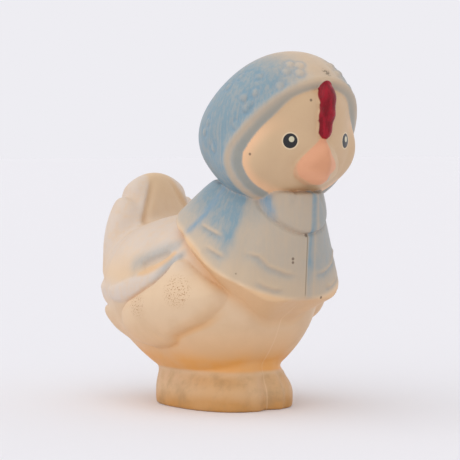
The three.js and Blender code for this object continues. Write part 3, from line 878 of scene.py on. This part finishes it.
# Painted shade: the hollows darker and more orange.
colour = coat(tree, ramp(tree, hollow, 0.15, 1.1, 0, 0.55), colour, linear(205, 152, 104))
foot = times(tree, layer(tree, "foot"), ramp(tree, cloud, 0.35, 0.65, 0.35, 0.65))
colour = coat(tree, foot, colour, linear(206, 160, 104))
# Ochre tint with painted shade under the hem and wing edge, darker on the foot.
ochre_and_shade = times(tree, layer(tree, "ochre_and_shade"), ramp(tree, cloud, 0.3, 0.7, 0.75, 1.15), True)
ochre_tones = coat(tree, layer(tree, "foot"), linear(226, 164, 90), linear(196, 140, 72))
colour = coat(tree, ochre_and_shade, colour, ochre_tones)
grime = ramp(tree, noise(tree, at, 120, 5, 0.65), 0.42, 0.75, 0, 0.5)
colour = coat(tree, times(tree, layer(tree, "foot"), grime), colour, linear(160, 128, 86))
# Sprayed blue, worn thin in streaks.
worn = calc(tree, "ADD", times(tree, streak, 0.5), times(tree, mottle, 0.5))
spray = times(tree, layer(tree, "spray"), ramp(tree, worn, 0.34, 0.66, 1.15, 0.82), True)
spray = times(tree, spray, ramp(tree, hollow, -1.2, -0.3, 0.62, 1.0))
colour = coat(tree, spray, colour, linear(122, 148, 161))
deep = times(tree, layer(tree, "deep"), ramp(tree, worn, 0.35, 0.65, 1, 0.6))
colour = coat(tree, deep, colour, linear(116, 148, 170))
colour = coat(tree, times(tree, layer(tree, "inner"), 0.8), colour, linear(154, 151, 140))
# Salmon paint on the beak and brushed red enamel on the comb.
salmon = ramp(tree, layer(tree, "beak"), -0.3, 0.4)
colour = coat(tree, times(tree, salmon, 0.9), colour, linear(224, 158, 120))
colour = coat(tree, ramp(tree, layer(tree, "beak"), 2.2, 6.0, 0, 0.5), colour, linear(200, 138, 100))
red = ramp(tree, layer(tree, "comb"), -0.12, 0.12)
enamel = coat(tree, ramp(tree, brush, 0.35, 0.65), linear(118, 6, 22), linear(156, 18, 38))
colour = coat(tree, red, colour, enamel)


def spot(tree, at, place, start, end):
    """1 within a distance of a place on the object, in millimetres, falling to 0."""
    centre = (place[0] / 1000, (place[1] + axis_y) / 1000, place[2] / 1000)
    away = put(tree, "ShaderNodeVectorMath", {0: at, 1: centre}, operation="DISTANCE").outputs["Value"]
    return ramp(tree, away, start / 1000, end / 1000, 1, 0)


# Painted eyes: a cream ring, a glossy black ball and a pale glint.
EYE_RING = (3.1, 3.45)
EYE_BALL = (2.72, 2.88)
EYE_GLINT = (1.05, 1.2)
eyes = [((-13.85, -59.2, 104.7), (-13.5, -59.6, 105.3)), ((13.85, -59.2, 104.7), (14.2, -59.0, 105.3))]
enamelled = red
for middle, glint in eyes:
    ring = times(tree, spot(tree, at, middle, *EYE_RING), 0.8)
    colour = coat(tree, ring, colour, linear(226, 205, 172))
    black = spot(tree, at, middle, *EYE_BALL)
    colour = coat(tree, black, colour, linear(17, 17, 20))
    colour = coat(tree, spot(tree, at, glint, *EYE_GLINT), colour, linear(206, 199, 170))
    enamelled = calc(tree, "MAXIMUM", enamelled, black)
# Marks of age: pin holes, crackle on the near wing and dirt on the top seam.
specks = [
    (-0.6, -52.9, 69.0, 0.5), (-6.7, -52.4, 60.3, 0.4), (-6.7, -52.4, 58.9, 0.35),
    (-24.9, -40.8, 54.8, 0.35), (8.0, -51.6, 45.0, 0.4), (25.8, -31.5, 39.6, 0.4),
    (-26.5, -27.7, 69.4, 0.3), (-18.8, 18.7, 16.5, 0.4), (-25.5, -49.8, 99.8, 0.35),
    (-36.1, -3.1, 35.8, 0.35), (-6.9, -62.8, 119.8, 0.35),
]
for px, py, pz, wide in specks:
    speck = times(tree, spot(tree, at, (px, py, pz), wide, wide + 0.35), 0.75)
    colour = coat(tree, speck, colour, linear(92, 70, 52))
crackle = ramp(tree, noise(tree, at, 1900, 2, 0.5), 0.56, 0.64)
for place, wide in (((-36.8, -19.5, 47.5), 3.5), ((-39.8, 2, 41), 2.5)):
    cracks = times(tree, crackle, spot(tree, at, place, wide, wide + 4))
    colour = coat(tree, cracks, colour, linear(184, 140, 102))
dirt = ramp(tree, noise(tree, at, 900, 4, 0.65), 0.46, 0.58)
dirt = times(tree, dirt, spot(tree, at, (2.2, -61.4, 130.3), 0.6, 2.8))
colour = coat(tree, times(tree, dirt, 0.85), colour, linear(88, 72, 48))
# The seam down the front: dark on the cape, dirt with painted shade, and pale on the chest, a painted
# highlight.
metres = put(tree, "ShaderNodeSeparateXYZ", {0: at}).outputs
on_seam = ramp(tree, calc(tree, "ABSOLUTE", metres["X"]), 0.00012, 0.0004, 1, 0)
on_seam = times(tree, on_seam, ramp(tree, metres["Y"], -0.024, -0.02, 1, 0))
on_cape = times(tree, ramp(tree, metres["Z"], 0.045, 0.047), ramp(tree, metres["Z"], 0.069, 0.071, 1, 0))
cape_seam_dirt_and_shade = times(tree, times(tree, on_seam, on_cape), 0.6)
colour = coat(tree, cape_seam_dirt_and_shade, colour, linear(120, 104, 84))
on_chest = ramp(tree, metres["Z"], 0.041, 0.043, 1, 0)
# Painted highlight: a pale line down the chest seam.
chest_seam_highlight = times(tree, times(tree, on_seam, on_chest), 0.35)
colour = coat(tree, chest_seam_highlight, colour, linear(236, 204, 168))
tree.links.new(colour, shader.inputs["Base Color"])
dull = ramp(tree, mottle, 0.3, 0.7, 0.4, 0.52)
gloss = put(tree, "ShaderNodeMix", {0: enamelled, 2: dull, 3: 0.16}, data_type="FLOAT").outputs[0]
tree.links.new(gloss, shader.inputs["Roughness"])
sheen = put(tree, "ShaderNodeMix", {0: red, 2: 0.5, 3: 0.22}, data_type="FLOAT").outputs[0]
tree.links.new(sheen, shader.inputs["Specular IOR Level"])
height = calc(tree, "ADD", grit, times(tree, times(tree, brush, red), 1.5))
rough(tree, shader, height, 0.35, 0.0002)
for piece, node in ((half, "skin_left"), (other, "skin_right")):
    dress(piece, rubber)
    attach(piece, "toy")
    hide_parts(node)

# Squeaker barrel. A turned tinplate tube pressed up through the sole: the outer flange lies in the
# sole's pocket, the bevelled inner flange grips the rubber, and a ledge inside carries the reed block.
GAP = 0.3
BARREL_RADIUS = 7.5
BARREL_WALL = 1.1
FLANGE_RADIUS = 9.8
FLANGE_THICKNESS = 1.2
GRILLE_THICKNESS = 0.9
LEDGE = (1.4, 0.8)
BARREL_LENGTH = 14.5
barrel_bottom = POCKET[1] - FLANGE_THICKNESS - GAP
barrel_top = barrel_bottom + BARREL_LENGTH
bore_radius = BARREL_RADIUS - BARREL_WALL
ledge_top = barrel_bottom + GRILLE_THICKNESS + 2 * GAP + LEDGE[1]
grip = SOLE + GAP

barrel = lathe("tin_barrel", [
    (0, barrel_bottom - 0.3), (FLANGE_RADIUS - 0.3, barrel_bottom),
    (FLANGE_RADIUS, barrel_bottom + 0.3),
    (FLANGE_RADIUS, barrel_bottom + FLANGE_THICKNESS - 0.2),
    (FLANGE_RADIUS - 0.2, barrel_bottom + FLANGE_THICKNESS),
    (BARREL_RADIUS, barrel_bottom + FLANGE_THICKNESS), (BARREL_RADIUS, grip),
    (FLANGE_RADIUS - 0.6, grip), (FLANGE_RADIUS - 0.2, grip + 0.4),
    (BARREL_RADIUS + 0.6, grip + FLANGE_THICKNESS),
    (BARREL_RADIUS, grip + FLANGE_THICKNESS + 0.6), (BARREL_RADIUS, barrel_top - 0.5),
    (BARREL_RADIUS - 0.15, barrel_top - 0.15), (BARREL_RADIUS - 0.4, barrel_top), (0, barrel_top + 0.3),
], 128)
cut(barrel, lathe("barrel_bore", [
    (0, barrel_bottom - 1), (bore_radius + 0.5, barrel_bottom - 1),
    (bore_radius + 0.5, barrel_bottom - 0.25),
    (bore_radius, barrel_bottom + 0.25), (bore_radius, ledge_top - LEDGE[1]),
    (bore_radius - LEDGE[0], ledge_top - LEDGE[1] + 0.05), (bore_radius - LEDGE[0], ledge_top),
    (bore_radius, ledge_top + 0.05), (bore_radius, barrel_top + 1), (0, barrel_top + 1),
], 128, 0.5))
settle(barrel.data, vertices(barrel.data), 35)

tin, tree, shader, at = material("dull_tinplate")
wear = grain(tree, at, 2200)
bloom = noise(tree, at, 380, 4, 0.6)
colour = coat(tree, ramp(tree, bloom, 0.45, 0.7, 0, 0.6), linear(196, 193, 185), linear(150, 138, 118))
tree.links.new(colour, shader.inputs["Base Color"])
tree.links.new(ramp(tree, wear, 0.3, 0.7, 0.4, 0.6), shader.inputs["Roughness"])
rough(tree, shader, wear, 0.3, 0.0001)
shader.inputs["Metallic"].default_value = 0.7
dress(barrel, tin)
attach(barrel, "toy")
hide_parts("squeaker_barrel")

# Squeaker grille. A thin tinplate disc punched with a ring of holes round one in the middle, pushed
# up the barrel's mouth to keep fingers off the reed.
GRILLE_HOLE = 1.05
punch = bpy.data.node_groups.new("punched_disc", "GeometryNodeTree")
for name, kind in (
    ("Disc Radius", "Float"), ("Hole Radius", "Float"), ("Ring Radius", "Float"), ("Thickness", "Float"),
    ("Holes", "Int"), ("Material", "Material"),
):
    punch.interface.new_socket(name, in_out="INPUT", socket_type="NodeSocket" + kind)
punch.interface.new_socket("Geometry", in_out="OUTPUT", socket_type="NodeSocketGeometry")
given = punch.nodes.new("NodeGroupInput").outputs


def joined(tree, *parts):
    """Parts of one geometry, joined."""
    made = tree.nodes.new("GeometryNodeJoinGeometry")
    for part in parts:
        tree.links.new(part, made.inputs[0])
    return made.outputs[0]


edge = put(punch, "GeometryNodeCurvePrimitiveCircle", {"Resolution": 96, "Radius": given["Disc Radius"]})
hole = put(punch, "GeometryNodeCurvePrimitiveCircle", {"Resolution": 28, "Radius": given["Hole Radius"]})
ring = put(punch, "GeometryNodeMeshCircle", {"Vertices": given["Holes"], "Radius": given["Ring Radius"]})
centre = put(punch, "GeometryNodeMeshLine", {"Count": 1})
holes = put(punch, "GeometryNodeInstanceOnPoints", {
    "Points": joined(punch, ring.outputs["Mesh"], centre.outputs["Mesh"]),
    "Instance": hole.outputs["Curve"],
})
holes = put(punch, "GeometryNodeRealizeInstances", {"Geometry": holes.outputs["Instances"]})
plate = put(punch, "GeometryNodeFillCurve", {
    "Curve": joined(punch, edge.outputs["Curve"], holes.outputs["Geometry"]),
}).outputs["Mesh"]
upper = put(punch, "GeometryNodeExtrudeMesh", {
    "Mesh": plate, "Offset Scale": given["Thickness"], "Individual": False,
})
lower = put(punch, "GeometryNodeFlipFaces", {"Mesh": plate})
disc = put(punch, "GeometryNodeMergeByDistance", {
    "Geometry": joined(punch, upper.outputs["Mesh"], lower.outputs["Mesh"]), "Distance": 0.001,
})
disc = put(punch, "GeometryNodeRealizeInstances", {"Geometry": disc.outputs["Geometry"]})
disc = put(punch, "GeometryNodeSetMaterial", {
    "Geometry": disc.outputs["Geometry"], "Material": given["Material"],
})
put(punch, "NodeGroupOutput", {"Geometry": disc.outputs["Geometry"]})
grille = new_object("tin_grille", bpy.data.meshes.new("tin_grille"))
punched = grille.modifiers.new("punched_disc", "NODES")
punched.node_group = punch
plug_radius = bore_radius - GAP
values = {
    "Disc Radius": plug_radius,
    "Hole Radius": GRILLE_HOLE,
    "Ring Radius": 0.6 * plug_radius,
    "Thickness": GRILLE_THICKNESS,
    "Holes": 6,
    "Material": tin,
}
for socket in punch.interface.items_tree:
    if socket.in_out == "INPUT":
        punched[socket.identifier] = values[socket.name]
baked = bpy.data.meshes.new_from_object(grille.evaluated_get(bpy.context.evaluated_depsgraph_get()))
grille.modifiers.remove(punched)
grille.data = baked
settle(baked, vertices(baked) + (0, 0, barrel_bottom + GAP), 35)
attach(grille, "toy")
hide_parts("squeaker_grille")

# Reed block and wedge. Two halves of an ivory plastic plug that clamp the reed's root inside the
# barrel; the block's trough lets the blown air past the tongue. Their solids are shown as they are.
ivory, tree, shader, at = material("ivory_plastic")
wear = grain(tree, at, 1800)
colour = coat(tree, ramp(tree, wear, 0.35, 0.65), linear(226, 217, 194), linear(214, 201, 172))
tree.links.new(colour, shader.inputs["Base Color"])
tree.links.new(ramp(tree, wear, 0.3, 0.7, 0.36, 0.5), shader.inputs["Roughness"])
for node in ("reed_block", "reed_wedge"):
    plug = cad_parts[node]
    dress(plug, ivory)

# Reed. A strip of thin spring brass, clamped at its root, whose free tongue buzzes against the
# block's flat face. Its solid is shown as it is.
brass, tree, shader, at = material("spring_brass")
wear = grain(tree, at, 2600)
colour = coat(tree, ramp(tree, wear, 0.4, 0.7), linear(214, 180, 104), linear(176, 138, 72))
tree.links.new(colour, shader.inputs["Base Color"])
tree.links.new(ramp(tree, wear, 0.3, 0.7, 0.22, 0.4), shader.inputs["Roughness"])
shader.inputs["Metallic"].default_value = 1
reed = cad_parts["reed"]
dress(reed, brass)

# Floor and backdrop. A matt pale floor runs out of sight into an even pale backdrop, lit by a white
# sky, a broad key lamp high on the picture's left and a weak one from its right.
floor_mesh = bpy.data.meshes.new("floor")
floor_mesh.from_pydata([(-9, -9, 0), (9, -9, 0), (9, 9, 0), (-9, 9, 0)], [], [(0, 1, 2, 3)])
floor = new_object("floor", floor_mesh)
sweep = bpy.data.materials.new("pale_sweep")
sweep.use_nodes = True
sweep.node_tree.nodes["Principled BSDF"].inputs["Base Color"].default_value = (0.852, 0.84, 0.882, 1)
sweep.node_tree.nodes["Principled BSDF"].inputs["Roughness"].default_value = 0.9
floor.data.materials.append(sweep)

world = bpy.data.worlds.new("studio")
bpy.context.scene.world = world
world.use_nodes = True
sky = world.node_tree
plain = sky.nodes["Background"]
plain.inputs["Color"].default_value = (1, 1, 1, 1)
plain.inputs["Strength"].default_value = 0.7
paths = put(sky, "ShaderNodeLightPath").outputs
bounced = calc(sky, "MAXIMUM", paths["Is Glossy Ray"], paths["Is Transmission Ray"])
seen = calc(sky, "MAXIMUM", paths["Is Camera Ray"], bounced)
backdrop = put(sky, "ShaderNodeBackground", {"Color": linear(238, 237, 242), "Strength": 1.0})
both = put(sky, "ShaderNodeMixShader", {0: seen, 1: plain.outputs[0], 2: backdrop.outputs[0]})
sky.links.new(both.outputs[0], sky.nodes["World Output"].inputs["Surface"])


def lamp(name, energy, breadth, aim):
    """A sun as broad as some degrees of the sky, that shines along a direction."""
    sun = bpy.data.lights.new(name, "SUN")
    sun.energy = energy
    sun.angle = math.radians(breadth)
    new_object(name, sun).rotation_euler = Vector(aim).to_track_quat("-Z", "Y").to_euler()


lamp("key", 1.15, 110, (0.8, -0.05, -0.75))
lamp("fill", 0.3, 120, (-0.6, 0.7, -0.35))

# Camera. It stands where the photo was taken from, as fitted to the photo's outline: almost level,
# 39 degrees round from the hen's front, with a long lens 0.8 m away.
LENS = 158.09
DISTANCE = 0.8
AIM = (0, -6.5, 69.4)
camera = bpy.data.cameras.new("camera")
camera.lens = LENS
camera.sensor_width = 36
camera_object = new_object("camera", camera)
target = Vector((AIM[0], AIM[1] + axis_y, AIM[2])) / 1000
azimuth, elevation = math.radians(-39), math.radians(2.55)
away = Vector((
    math.sin(azimuth) * math.cos(elevation),
    -math.cos(azimuth) * math.cos(elevation),
    math.sin(elevation),
))
camera_object.location = target + DISTANCE * away
camera_object.rotation_euler = (-away).to_track_quat("-Z", "Y").to_euler()
bpy.context.scene.camera = camera_object
bpy.context.scene.view_settings.view_transform = "Standard"
